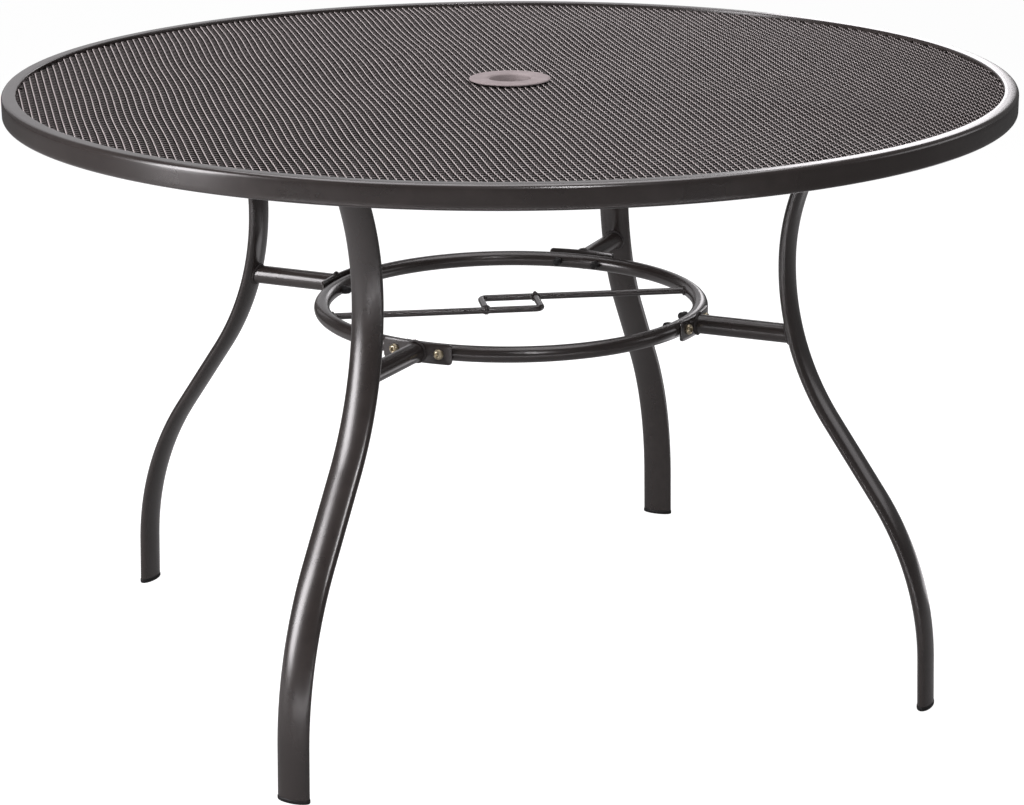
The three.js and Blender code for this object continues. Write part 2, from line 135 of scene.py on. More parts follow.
def coated(name, dark, base, light, rough=(0.30, 0.42), peel=0.10, peel_scale=900.0, wear=0.5, metal=0.0, coat=0.0, level=0.5):
    """Powder coat: a slightly mottled colour, orange peel, fine flecks and paler rubbed edges."""
    m, nodes, links, bsdf = material(name)
    coord = nodes.new("ShaderNodeTexCoord").outputs["Object"]
    broad = noise_node(nodes, links, coord, 9.0, 4.0, 0.6)
    cloud = noise_node(nodes, links, coord, 55.0, 4.0, 0.6)
    fleck = noise_node(nodes, links, coord, 1500.0, 2.0, 0.7)
    tone = ramp_node(nodes, links, broad.outputs["Fac"], [(0.32, dark), (0.52, base), (0.72, light)])
    soft = ramp_node(nodes, links, cloud.outputs["Fac"], [(0.30, (0.90, 0.90, 0.90, 1)), (0.70, (1.09, 1.085, 1.08, 1))])
    colour = mix_node(nodes, links, 0.7, tone.outputs["Color"], soft.outputs["Color"], "MULTIPLY")
    spark = ramp_node(nodes, links, fleck.outputs["Fac"], [(0.62, (0, 0, 0, 1)), (0.72, (1, 1, 1, 1))])
    flecked = tuple(min(1.0, 1.9 * c) for c in base[:3]) + (1.0,)
    amount = nodes.new("ShaderNodeMath")
    amount.operation = "MULTIPLY"
    amount.inputs[1].default_value = 0.12
    links.new(spark.outputs["Color"], amount.inputs[0])
    colour = mix_node(nodes, links, amount.outputs[0], colour, flecked)
    # rubbed edges: where the surface turns sharply, broken up by the cloud noise
    point = nodes.new("ShaderNodeNewGeometry").outputs["Pointiness"]
    edge = ramp_node(nodes, links, point, [(0.56, (0, 0, 0, 1)), (0.66, (1, 1, 1, 1))])
    broken = nodes.new("ShaderNodeMath")
    broken.operation = "MULTIPLY"
    links.new(edge.outputs["Color"], broken.inputs[0])
    links.new(map_node(nodes, links, cloud.outputs["Fac"], 0.45, 0.70, 0.0, wear), broken.inputs[1])
    worn = tuple(min(1.0, 2.6 * c + 0.02) for c in base[:3]) + (1.0,)
    colour = mix_node(nodes, links, broken.outputs[0], colour, worn)
    links.new(colour, bsdf.inputs["Base Color"])
    links.new(map_node(nodes, links, cloud.outputs["Fac"], 0.3, 0.7, rough[0], rough[1]), bsdf.inputs["Roughness"])
    skin = noise_node(nodes, links, coord, peel_scale, 2.0, 0.5)
    bump = nodes.new("ShaderNodeBump")
    bump.inputs["Strength"].default_value = peel
    bump.inputs["Distance"].default_value = 0.0004
    links.new(skin.outputs["Fac"], bump.inputs["Height"])
    links.new(bump.outputs["Normal"], bsdf.inputs["Normal"])
    bsdf.inputs["Metallic"].default_value = metal
    bsdf.inputs["Coat Weight"].default_value = coat
    bsdf.inputs["Coat Roughness"].default_value = 0.25
    bsdf.inputs["Specular IOR Level"].default_value = level
    return m


def strand_coat_painted_light(name):
    """The sheet's coat, with painted light: a painted highlight on the strands' up-facing faces, painted shade on their
    sides and undersides.
    It has no bump, because its relief is real."""
    m, nodes, links, bsdf = material(name)
    coord = nodes.new("ShaderNodeTexCoord").outputs["Object"]
    broad = noise_node(nodes, links, coord, 6.0, 4.0, 0.6)
    cloud = noise_node(nodes, links, coord, 70.0, 3.0, 0.6)
    grit = noise_node(nodes, links, coord, 700.0, 2.0, 0.6)
    # painted shade: a very dark tone for the strands' sides and undersides; painted highlight: a near-white grainy tone
    # for the faces that point up
    painted_shade_tone = ramp_node(nodes, links, broad.outputs["Fac"], [(0.32, srgb(25, 20, 19)), (0.52, srgb(30, 25, 24)), (0.72, srgb(36, 30, 29))])
    painted_highlight_tone = ramp_node(nodes, links, grit.outputs["Fac"], [(0.30, srgb(200, 190, 189)), (0.50, srgb(220, 211, 210)), (0.70, srgb(238, 230, 228))])
    geometry = nodes.new("ShaderNodeNewGeometry")
    normal = nodes.new("ShaderNodeSeparateXYZ")
    links.new(geometry.outputs["Normal"], normal.inputs[0])
    painted_highlight_mask = map_node(nodes, links, normal.outputs["Z"], 0.62, 0.84, 0.0, 1.0)
    # painted highlight: the strands running one way, told apart by which way their faces turn, get it in full; the
    # other strands and the bonds get about a third
    along = nodes.new("ShaderNodeVectorMath")
    along.operation = "DOT_PRODUCT"
    along.inputs[1].default_value = (math.cos(math.radians(57.8)), math.sin(math.radians(57.8)), 0.0)
    links.new(geometry.outputs["True Normal"], along.inputs[0])
    family = map_node(nodes, links, along.outputs["Value"], -0.050, -0.022, 1.0, 0.30)
    both = nodes.new("ShaderNodeMath")
    both.operation = "MULTIPLY"
    links.new(painted_highlight_mask, both.inputs[0])
    links.new(family, both.inputs[1])
    painted_highlight_mask = both.outputs[0]
    colour = mix_node(nodes, links, painted_highlight_mask, painted_shade_tone.outputs["Color"], painted_highlight_tone.outputs["Color"])
    soft = ramp_node(nodes, links, cloud.outputs["Fac"], [(0.30, (0.86, 0.86, 0.86, 1)), (0.70, (1.14, 1.13, 1.12, 1))])
    colour = mix_node(nodes, links, 0.8, colour, soft.outputs["Color"], "MULTIPLY")
    links.new(colour, bsdf.inputs["Base Color"])
    links.new(map_node(nodes, links, cloud.outputs["Fac"], 0.3, 0.7, 0.50, 0.62), bsdf.inputs["Roughness"])
    bsdf.inputs["Specular IOR Level"].default_value = 0.08
    return m


def moulded(name, dark, base, light, rough=(0.55, 0.7), grain=1400.0, depth=0.35, speck=0.5):
    """Moulded plastic with a fine spark-eroded grain."""
    m, nodes, links, bsdf = material(name)
    coord = nodes.new("ShaderNodeTexCoord").outputs["Object"]
    broad = noise_node(nodes, links, coord, 28.0, 4.0, 0.6)
    fine = noise_node(nodes, links, coord, grain, 3.0, 0.65)
    tone = ramp_node(nodes, links, broad.outputs["Fac"], [(0.30, dark), (0.52, base), (0.74, light)])
    speckle = ramp_node(nodes, links, fine.outputs["Fac"], [(0.34, (0.72, 0.71, 0.71, 1)), (0.50, (1, 1, 1, 1)), (0.66, (1.22, 1.21, 1.20, 1))])
    colour = mix_node(nodes, links, speck, tone.outputs["Color"], speckle.outputs["Color"], "MULTIPLY")
    point = nodes.new("ShaderNodeNewGeometry").outputs["Pointiness"]
    edge = ramp_node(nodes, links, point, [(0.52, (0, 0, 0, 1)), (0.62, (0.4, 0.4, 0.4, 1))])
    paler = tuple(min(1.0, 1.35 * c + 0.01) for c in light[:3]) + (1.0,)
    colour = mix_node(nodes, links, edge.outputs["Color"], colour, paler)
    links.new(colour, bsdf.inputs["Base Color"])
    links.new(map_node(nodes, links, fine.outputs["Fac"], 0.3, 0.7, rough[0], rough[1]), bsdf.inputs["Roughness"])
    bump = nodes.new("ShaderNodeBump")
    bump.inputs["Strength"].default_value = depth
    bump.inputs["Distance"].default_value = 0.0004
    links.new(fine.outputs["Fac"], bump.inputs["Height"])
    links.new(bump.outputs["Normal"], bsdf.inputs["Normal"])
    bsdf.inputs["Specular IOR Level"].default_value = 0.4
    return m


def plated(name, dark, base, light, stain, rough=(0.24, 0.42)):
    """Plated steel: patchy tint, a fine grainy bump and darker stains."""
    m, nodes, links, bsdf = material(name)
    coord = nodes.new("ShaderNodeTexCoord").outputs["Object"]
    patch = noise_node(nodes, links, coord, 260.0, 4.0, 0.65, 0.4)
    fine = noise_node(nodes, links, coord, 2600.0, 2.0, 0.5)
    tone = ramp_node(nodes, links, patch.outputs["Fac"], [(0.28, stain), (0.42, dark), (0.55, base), (0.75, light)])
    links.new(tone.outputs["Color"], bsdf.inputs["Base Color"])
    links.new(map_node(nodes, links, patch.outputs["Fac"], 0.3, 0.7, rough[1], rough[0]), bsdf.inputs["Roughness"])
    bump = nodes.new("ShaderNodeBump")
    bump.inputs["Strength"].default_value = 0.12
    bump.inputs["Distance"].default_value = 0.0002
    links.new(fine.outputs["Fac"], bump.inputs["Height"])
    links.new(bump.outputs["Normal"], bsdf.inputs["Normal"])
    bsdf.inputs["Metallic"].default_value = 0.9
    return m


COAT = coated("powder_coat", srgb(45, 39, 37), srgb(51, 45, 43), srgb(57, 51, 49), rough=(0.22, 0.25), wear=0.07, peel=0.05, coat=0.45, level=0.65)
WELD = coated("powder_coat_weld", srgb(48, 44, 43), srgb(57, 52, 51), srgb(68, 63, 62), rough=(0.34, 0.5), peel=0.3, peel_scale=500.0, wear=0.9)
STRAND = strand_coat_painted_light("powder_coat_strands_painted_light")
TAUPE = moulded("insert_plastic", srgb(142, 131, 131), srgb(154, 143, 143), srgb(168, 157, 157), grain=1000.0, depth=0.5, speck=0.8)
BLACK = moulded("black_plastic", srgb(18, 17, 17), srgb(24, 23, 23), srgb(33, 31, 31), rough=(0.42, 0.58), grain=900.0, depth=0.2, speck=0.3)
ZINC = plated("yellow_zinc", srgb(170, 157, 130), srgb(200, 188, 162), srgb(228, 219, 200), srgb(118, 105, 86))
STEEL = plated("bolt_steel", srgb(112, 112, 114), srgb(142, 142, 145), srgb(176, 176, 180), srgb(84, 82, 82))


# ------------------------------------------------------------------ mesh code
class Shape:
    """Vertices in millimetres and faces of one piece, gathered from several solids."""

    def __init__(self):
        self.v, self.f, self.n = [], [], 0

    def add(self, verts, faces, matrix=None):
        verts = np.asarray(verts, float).reshape(-1, 3)
        if matrix is not None:
            verts = verts @ np.asarray(matrix.to_3x3()).T + np.asarray(matrix.translation)
        self.v.append(verts)
        self.f += [tuple(i + self.n for i in f) for f in faces]
        self.n += len(verts)
        return self


def turn_z(degrees):
    return Matrix.Rotation(math.radians(degrees), 4, "Z")


def piece(name, shape, mat, body="table", stands_for=(), degrees=0.0, sharp=34.0, bevel=0.0, bevel_segments=2, bevel_angle=50.0, merge=True):
    """A Blender object from a Shape: closed solids with outward faces, smooth but for sharp edges."""
    me = bpy.data.meshes.new(name)
    verts = np.concatenate(shape.v) * MM
    if degrees:
        c, s = math.cos(math.radians(degrees)), math.sin(math.radians(degrees))
        verts = verts @ np.array([[c, -s, 0], [s, c, 0], [0, 0, 1]]).T
    me.from_pydata(verts.tolist(), [], shape.f)
    bm = bmesh.new()
    bm.from_mesh(me)
    if merge:
        bmesh.ops.remove_doubles(bm, verts=bm.verts[:], dist=2e-6)
    bmesh.ops.dissolve_degenerate(bm, dist=1e-7, edges=bm.edges[:])
    bmesh.ops.recalc_face_normals(bm, faces=bm.faces[:])
    if bevel:
        limit = math.radians(bevel_angle)
        edges = [e for e in bm.edges if len(e.link_faces) == 2 and e.calc_face_angle(0.0) > limit]
        bmesh.ops.bevel(bm, geom=edges, offset=bevel * MM, offset_type="OFFSET", segments=bevel_segments, profile=0.5, affect="EDGES", clamp_overlap=True)
        bmesh.ops.recalc_face_normals(bm, faces=bm.faces[:])
    bm.to_mesh(me)
    bm.free()
    me.shade_smooth()
    me.set_sharp_from_angle(angle=math.radians(sharp))
    me.materials.append(mat)
    ob = bpy.data.objects.new(name, me)
    bpy.context.scene.collection.objects.link(ob)
    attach(ob, body)
    if stands_for:
        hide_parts(*stands_for)
    return ob


def lathe(profile, sides, closed=True, radius=None):
    """Turns [r, z] points about Z. An open profile starts and ends on the axis."""
    verts, rings = [], []
    for r, z in profile:
        if r < 1e-6:
            rings.append([len(verts)])
            verts.append((0.0, 0.0, z))
            continue
        ring = []
        for i in range(sides):
            t = 2 * math.pi * i / sides
            q = r + (radius(r, z, t) if radius else 0.0)
            ring.append(len(verts))
            verts.append((q * math.cos(t), q * math.sin(t), z))
        rings.append(ring)
    pairs = list(zip(rings, rings[1:])) + ([(rings[-1], rings[0])] if closed else [])
    faces = []
    for a, b in pairs:
        for i in range(sides):
            j = (i + 1) % sides
            if len(a) == 1 and len(b) == 1:
                continue
            if len(a) == 1:
                faces.append((a[0], b[i], b[j]))
            elif len(b) == 1:
                faces.append((a[i], b[0], a[j]))
            else:
                faces.append((a[i], b[i], b[j], a[j]))
    return verts, faces


def arc(cx, cy, r, a0, a1, n):
    return [(cx + r * math.cos(math.radians(a0 + (a1 - a0) * i / n)), cy + r * math.sin(math.radians(a0 + (a1 - a0) * i / n))) for i in range(n + 1)]


def sweep(stations, section, closed=False):
    """Rings of section points [(a, b)] at stations [(point, axis_a, axis_b)]."""
    verts = []
    for p, a, b in stations:
        p, a, b = Vector(p), Vector(a), Vector(b)
        for x, y in section:
            verts.append(tuple(p + a * x + b * y))
    n, m = len(section), len(stations)
    faces = []
    for s in range(m if closed else m - 1):
        o, q = s * n, ((s + 1) % m) * n
        for i in range(n):
            j = (i + 1) % n
            faces.append((o + i, o + j, q + j, q + i))
    if not closed:
        faces.append(tuple(range(n))[::-1])
        faces.append(tuple((m - 1) * n + i for i in range(n)))
    return verts, faces


def circle(r, n, phase=0.0):
    return [(r * math.cos(2 * math.pi * (i + phase) / n), r * math.sin(2 * math.pi * (i + phase) / n)) for i in range(n)]


def oval(a, b, n):
    return [(a * math.cos(2 * math.pi * i / n), b * math.sin(2 * math.pi * i / n)) for i in range(n)]


def bead(points, radius, closed=True, ripple=0.14, pitch=2.2, sides=8, flat=1.0):
    """A weld bead: a rippled round run along points."""
    pts = [Vector(p) for p in points]
    n = len(pts)
    length, at = 0.0, [0.0]
    for a, b in zip(pts, pts[1:] + (pts[:1] if closed else [])):
        length += (b - a).length
        at.append(length)
    waves = max(2, round(length / pitch))
    tangents = []
    for i in range(n):
        before = pts[i - 1] if (closed or i) else pts[i]
        after = pts[(i + 1) % n] if (closed or i < n - 1) else pts[i]
        tangents.append((after - before).normalized())
    up = tangents[0].orthogonal().normalized()
    ups = [up]
    for i in range(1, n):
        q = tangents[i - 1].rotation_difference(tangents[i])
        ups.append((q @ ups[-1]).normalized())
    if closed:  # spread what is left of the twist over the loop
        q = tangents[-1].rotation_difference(tangents[0])
        last = q @ ups[-1]
        twist = math.atan2(tangents[0].dot(last.cross(ups[0])), last.dot(ups[0]))
        ups = [Matrix.Rotation(twist * i / n, 3, t) @ u for i, (t, u) in enumerate(zip(tangents, ups))]
    stations = []
    for i in range(n):
        s = 1.0 + ripple * math.sin(2 * math.pi * waves * at[i] / length) + 0.5 * ripple * math.sin(2 * math.pi * (waves // 3 + 1) * at[i] / length + 1.3)
        if not closed:
            s *= max(0.25, min(1.0, 4.0 * min(at[i], length - at[i]) / max(radius, 0.1) / 4.0 + 0.3))
        side = tangents[i].cross(ups[i])
        stations.append((pts[i], ups[i] * s, side * s))
    return sweep(stations, circle(radius, sides), closed)


def resample(points, step, closed=True):
    pts = np.asarray(points, float)
    if closed:
        pts = np.vstack([pts, pts[:1]])
    d = np.r_[0, np.cumsum(np.linalg.norm(np.diff(pts, axis=0), axis=1))]
    n = max(6, int(round(d[-1] / step)))
    s = np.linspace(0, d[-1], n + 1)
    out = np.stack([np.interp(s, d, pts[:, k]) for k in range(3)], 1)
    return out[:-1] if closed else out


def plane_cut(verts, faces, cuts):
    """Cuts a solid with planes [(point, outward normal)] and closes the cuts."""
    bm = bmesh.new()
    made = [bm.verts.new(v) for v in verts]
    for f in faces:
        bm.faces.new([made[i] for i in f])
    for co, no in cuts:
        got = bmesh.ops.bisect_plane(bm, geom=bm.verts[:] + bm.edges[:] + bm.faces[:], plane_co=co, plane_no=no, clear_outer=True)
        edges = [e for e in got["geom_cut"] if isinstance(e, bmesh.types.BMEdge)]
        bmesh.ops.edgeloop_fill(bm, edges=edges)
    bm.verts.index_update()
    v = [tuple(x.co) for x in bm.verts]
    f = [tuple(x.index for x in face.verts) for face in bm.faces]
    bm.free()
    return v, f


def rounded_rect(w, h, r, n=5):
    pts = []
    for cx, cy, a in ((w / 2 - r, h / 2 - r, 0), (-w / 2 + r, h / 2 - r, 90), (-w / 2 + r, -h / 2 + r, 180), (w / 2 - r, -h / 2 + r, 270)):
        pts += arc(cx, cy, r, a, a + 90, n)
    return pts


def prism(outline, z0, z1):
    n = len(outline)
    verts = [(x, y, z0) for x, y in outline] + [(x, y, z1) for x, y in outline]
    faces = [tuple(range(n))[::-1], tuple(range(n, 2 * n))]
    faces += [(i, (i + 1) % n, n + (i + 1) % n, n + i) for i in range(n)]
    return verts, faces


# ------------------------------------------------------------------ rim
def rim():
    R, zt, zb, ri = TABLE_R, TABLE_H, TABLE_H - RIM_HT, RIM_IN
    c, k = 5.2, 3.0
    profile = []
    profile += arc(R - c, zt - c, c, 90, 0, 9)
    profile += [(R, zt - c - (zt - c - zb - k) * i / 5) for i in range(1, 5)]
    profile += arc(R - k, zb + k, k, 0, -90, 6)
    profile += arc(ri + 1.2, zb + 1.2, 1.2, 270, 180, 3)
    profile += [(ri, zb + 9), (ri, zb + 18)]
    profile += arc(ri + 1.5, zt - 1.5, 1.5, 180, 90, 4)
    profile += [(ri + 4.5, zt), (ri + 7.5, zt)]
    s = Shape().add(*lathe(profile, 288))
    ob = piece("rim_tube", s, COAT, stands_for=["rim_frame"], sharp=60)
    return ob


rim()


# ------------------------------------------------------------------ expanded metal sheet
PITCH_L, PITCH_S = 20.0, 8.75  # long and short way of the openings
SHEET_TURN = 57.8  # direction of the long way
STRAND_W, STRAND_T = 2.19, 1.55
STRAND_TILT = math.radians(66.0)
BOND = 3.4


def wave(x, y):
    """Small in-plane and vertical unevenness of the stretched sheet, in millimetres."""
    r = np.hypot(x, y)
    edge = np.clip((575.0 - r) / 60.0, 0, 1) * np.clip((r - 40.0) / 50.0, 0, 1)
    dx = 0.8 * np.sin(x / 61.0 + y / 97.0 + 0.6) + 0.6 * np.sin(y / 43.0 - x / 120.0 + 2.1)
    dy = 0.8 * np.sin(x / 83.0 - y / 57.0 + 1.9) + 0.5 * np.sin(x / 39.0 + y / 150.0)
    dz = 0.10 * np.sin(x / 55.0 + 0.4) * np.sin(y / 71.0 + 1.1) + 0.05 * np.sin((x + y) / 37.0)
    return dx * edge, dy * edge, dz * edge


def expanded_sheet():
    a, b, w, t, c = PITCH_L, PITCH_S, STRAND_W, STRAND_T, BOND
    e_v, e_z = -math.cos(STRAND_TILT), math.sin(STRAND_TILT)
    n_v, n_z = math.sin(STRAND_TILT), math.cos(STRAND_TILT)
    thick = 2 * w * e_z + t * n_z + 0.3
    mid = SHEET_TOP - thick / 2
    outer, inner = RIM_IN - 0.4, HOLE_R + 0.2
    rows = int(outer / (b / 2)) + 2
    cols = int(outer / a) + 2
    k = np.arange(-rows, rows + 1)
    i = np.arange(-cols, cols + 1)
    K, I = np.meshgrid(k, i, indexing="ij")
    K, I = K.ravel(), I.ravel()
    u0 = (I + (K % 2) * 0.5) * a  # the strip's bond in row K
    low_v, low_z = K * b / 2 - w / 2 * e_v, np.full(len(K), -w / 2 * e_z)
    high_v, high_z = (K + 1) * b / 2 + w / 2 * e_v, np.full(len(K), w / 2 * e_z)
    # four segments for each period: bond low, strand up, bond high, strand down
    stations = [(u0 - c / 2, low_v, low_z), (u0 + c / 2, low_v, low_z), (u0 + a / 2 - c / 2, high_v, high_z), (u0 + a / 2 + c / 2, high_v, high_z), (u0 + a - c / 2, low_v, low_z)]
    corner = [(-1, -1), (1, -1), (1, 1), (-1, 1)]  # signs along e and n
    turn = math.radians(SHEET_TURN)
    cu, su = math.cos(turn), math.sin(turn)

    def place(u, v, z):
        x, y = u * cu - v * su, u * su + v * cu
        dx, dy, dz = wave(x, y)
        return np.stack([x + dx, y + dy, mid + z + dz], -1)

    ends = []
    for u, v, z in stations:
        ends.append(np.stack([place(u, v + se * w / 2 * e_v + sn * t / 2 * n_v, z + se * w / 2 * e_z + sn * t / 2 * n_z) for se, sn in corner], 1))
    segs, kinds = [], []
    for s in range(4):
        segs.append(np.stack([ends[s], ends[s + 1]], 1))  # piece, end, corner, xyz
        kinds.append(np.full(len(K), s))
    P, kind = np.concatenate(segs), np.concatenate(kinds)
    r = np.hypot(P[..., 0], P[..., 1])
    out = (r > outer) | (r < inner)
    keep = ~out.all((1, 2))
    P, kind, out, r = P[keep], kind[keep], out[keep], r[keep]
    # cut the segments that cross the edge, strand edge by strand edge
    moved = np.zeros((len(P), 2), bool)
    for j in np.nonzero(out.any((1, 2)))[0]:
        for q in range(4):
            s_out, e_out = out[j, 0, q], out[j, 1, q]
            if not (s_out or e_out):
                continue
            A, B = P[j, 0, q].copy(), P[j, 1, q].copy()
            for bad, end, here, there in ((s_out, 0, A, B), (e_out, 1, B, A)):
                if not bad:
                    continue
                limit = outer if np.hypot(*here[:2]) > outer else inner
                d = there - here
                qa, qb, qc = d[:2] @ d[:2], 2 * here[:2] @ d[:2], here[:2] @ here[:2] - limit**2
                root = qb * qb - 4 * qa * qc
                hit = None
                if not (s_out and e_out) and root > 0 and qa > 1e-12:
                    for f in sorted(((-qb - math.sqrt(root)) / (2 * qa), (-qb + math.sqrt(root)) / (2 * qa))):
                        if 0 <= f <= 1:
                            hit = here + d * f
                            break
                if hit is None:
                    hit = here.copy()
                    hit[:2] *= limit / max(np.hypot(*here[:2]), 1e-9)
                P[j, end, q] = hit
                moved[j, end] = True
    # quads of each segment; a bond has no wall where the next strip joins it
    base = (np.arange(len(P)) * 8)[:, None]
    S, E = lambda q: q, lambda q: q + 4
    top = base + np.array([[S(2), E(2), E(3), S(3)]])
    bottom = base + np.array([[E(0), E(1), S(1), S(0)]])
    plus = base + np.array([[E(1), E(2), S(2), S(1)]])
    minus = base + np.array([[S(3), E(3), E(0), S(0)]])
    first = base + np.array([[S(1), S(2), S(3), S(0)]])
    last = base + np.array([[E(3), E(2), E(1), E(0)]])
    cut = moved.any(1)
    sel_plus = np.nonzero((kind != 0) | cut)[0]
    sel_minus = np.nonzero((kind != 2) | cut)[0]
    faces = [top, bottom, plus[sel_plus], minus[sel_minus], first[moved[:, 0]], last[moved[:, 1]]]
    owner = [np.arange(len(P)), np.arange(len(P)), sel_plus, sel_minus, np.nonzero(moved[:, 0])[0], np.nonzero(moved[:, 1])[0]]
    faces, owner = np.concatenate(faces), np.concatenate(owner)
    verts = P.reshape(-1, 3)
    centre = P.mean((1, 2))
    quadrant = (np.floor((np.degrees(np.arctan2(centre[:, 1], centre[:, 0])) + 45.0) / 90.0).astype(int)) % 4
    names = ["sheet_right", "sheet_back", "sheet_left", "sheet_front"]
    for q in range(4):
        mine = faces[quadrant[owner] == q]
        used, index = np.unique(mine, return_inverse=True)
        v = verts[used]
        f = index.reshape(mine.shape)
        # join equal corners of neighbouring segments
        key = np.round(v * 500).astype(np.int64)
        _, keep_at, back = np.unique(key, axis=0, return_index=True, return_inverse=True)
        back = back.ravel()
        v, f = v[keep_at], back[f]
        good = np.array([len(set(x)) == 4 for x in f.tolist()])
        f = f[good]
        me = bpy.data.meshes.new(names[q])
        me.vertices.add(len(v))
        me.vertices.foreach_set("co", (v * MM).ravel())
        me.loops.add(4 * len(f))
        me.loops.foreach_set("vertex_index", f.ravel())
        me.polygons.add(len(f))
        me.polygons.foreach_set("loop_start", np.arange(0, 4 * len(f), 4))
        me.update(calc_edges=True)
        me.validate()
        me.shade_smooth()
        me.set_sharp_from_angle(angle=math.radians(50))
        # a plan map for the bake, with a little lean so that no wall is a line
        uv = me.uv_layers.new(name="OFBake")
        at = v[f.ravel()]
        flat = np.stack([at[:, 0] + 0.45 * at[:, 2], at[:, 1] + 0.30 * at[:, 2]], 1)
        low, size = flat.min(0), (flat.max(0) - flat.min(0)).max()
        if len(me.loops) == len(flat):
            uv.data.foreach_set("uv", ((flat - low) / size * 0.98 + 0.01).ravel())
        me.materials.append(STRAND)
        ob = bpy.data.objects.new(names[q], me)
        bpy.context.scene.collection.objects.link(ob)
        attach(ob, "table")
        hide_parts("mesh_top")


expanded_sheet()


# ------------------------------------------------------------------ umbrella insert
def insert():
    z0 = SHEET_TOP + GAP
    z1 = z0 + 3.4
    low = z0 - 24.0

    def ribs(r, z, t):
        if 27.0 < r < 28.5 and low + 2.5 < z < z0 - 1.0:
            return 0.55 * max(0.0, math.cos(8 * t)) ** 24
        return 0.0

    profile = [(25.0, z1 - 2.2), (25.0, z0 - 10), (25.1, low + 1.0), (25.5, low + 0.3), (26.2, low), (27.2, low), (27.6, low + 0.6)]
    profile += [(28.0, low + 2.4), (28.0, low + 3.2), (28.0, z0 - 8), (28.0, z0 - 1.4), (28.3, z0 - 0.4), (29.0, z0)]
    profile += [(36.0, z0), (46.2, z0), (46.9, z0 + 0.55), (48.5, z0 + 1.15)]
    profile += [(48.85, z0 + 1.5), (48.8, z0 + 2.0), (48.2, z0 + 2.7), (46.9, z1 - 0.22), (45.2, z1 - 0.02), (41.0, z1), (35.0, z1 - 0.05), (31.0, z1 - 0.1)]
    profile += [(28.6, z1 - 0.15), (27.4, z1 - 0.3), (26.2, z1 - 0.9), (25.4, z1 - 1.6)]
    s = Shape().add(*lathe(profile, 96, radius=ribs))
    piece("insert_sleeve", s, TAUPE, body="insert", stands_for=["umbrella_insert"], sharp=44)


insert()


# ------------------------------------------------------------------ hub, support bars, leg plates
def hub():
    s = Shape()
    p = [(HUB_BORE, HUB_LOW + 0.6), (HUB_BORE + 0.6, HUB_LOW), (HUB_R - 0.6, HUB_LOW), (HUB_R, HUB_LOW + 0.6)]
    p += [(HUB_R, HUB_HIGH - 0.6), (HUB_R - 0.6, HUB_HIGH), (HUB_BORE + 0.6, HUB_HIGH), (HUB_BORE, HUB_HIGH - 0.6)]
    s.add(*lathe(p, 72))
    piece("hub_sleeve", s, COAT, stands_for=["hub_ring"])


def bar(corner, degrees):
    s = Shape()
    mid = (HUB_LOW + HUB_HIGH) / 2
    outer = rounded_rect(BAR_W, BAR_H, 2.6)
    inner = rounded_rect(BAR_W - 2 * BAR_WALL, BAR_H - 2 * BAR_WALL, 1.0)
    n = len(outer)
    xs = [HUB_R + GAP, HUB_R + 60, 200, 320, 440, RIM_IN - 1.1]
    verts, faces = [], []
    for x in xs:
        verts += [(x, p, mid + q) for p, q in outer]
        verts += [(x, p, mid + q) for p, q in inner]
    for k in range(len(xs) - 1):
        for i in range(n):
            j = (i + 1) % n
            o, q = 2 * n * k, 2 * n * (k + 1)
            faces.append((o + i, o + j, q + j, q + i))
            faces.append((o + n + j, o + n + i, q + n + i, q + n + j))
    for i in range(n):
        j = (i + 1) % n
        faces.append((j, i, n + i, n + j))
        o = 2 * n * (len(xs) - 1)
        faces.append((o + i, o + j, o + n + j, o + n + i))
    s.add(verts, faces)
    piece(f"bar_{corner}", s, COAT, stands_for=[f"support_bar_{corner}"], degrees=degrees)


def plate(corner, degrees):
    s = Shape()
    outline = [(PLATE_MID + x, y) for x, y in rounded_rect(110, 40, 6)]
    s.add(*prism(outline, PLATE_LOW, PLATE_HIGH))
    piece(f"plate_{corner}", s, COAT, stands_for=[f"leg_plate_{corner}"], degrees=degrees, bevel=0.5)


def hex_outline(across, x=0.0, phase=0.0):
    r = across / math.sqrt(3)
    return [(x + r * math.cos(math.radians(60 * i + phase)), r * math.sin(math.radians(60 * i + phase))) for i in range(6)]


def hex_lathe(profile, across, sides=48):
    """Turned profile of [r, z] whose radius is held inside a hexagon."""
    half = across / 2

    def inside(r, z, t):
        k = (t + math.pi / 6) % (math.pi / 3) - math.pi / 6
        return min(r, half / math.cos(k)) - r

    return lathe(profile, sides, closed=False, radius=inside)


def leg_bolt(corner, degrees, which, r):
    top = PLATE_LOW - 0.3
    low = top - 4.0
    p = [(0, low + 0.5), (2.6, low + 0.5), (3.0, low + 0.1), (4.6, low), (5.0, low + 0.05), (5.9, low + 0.75), (5.9, top - 1.0), (5.9, top - 0.9), (0, top - 0.9)]
    s = Shape()
    v, f = hex_lathe(p, 10.0)
    s.add(v, f, Matrix.Translation((r, 0, 0)) @ turn_z(11 if which == "inner" else -17))
    washer = [(0, top - 1.0), (6.1, top - 1.0), (6.4, top - 0.7), (6.4, top - 0.2), (6.2, top), (0, top)]
    v, f = lathe(washer, 40, closed=False)
    s.add(v, f, Matrix.Translation((r, 0, 0)))
    shank = [(0, top - 0.5), (3.0, top - 0.5), (3.0, HUB_LOW + BAR_WALL + 7.4), (2.4, HUB_LOW + BAR_WALL + 8), (0, HUB_LOW + BAR_WALL + 8)]
    v, f = lathe(shank, 20, closed=False)
    s.add(v, f, Matrix.Translation((r, 0, 0)))
    piece(f"plate_bolt_{which}_{corner}", s, STEEL, stands_for=[f"leg_bolt_{which}_{corner}"], degrees=degrees, sharp=28)


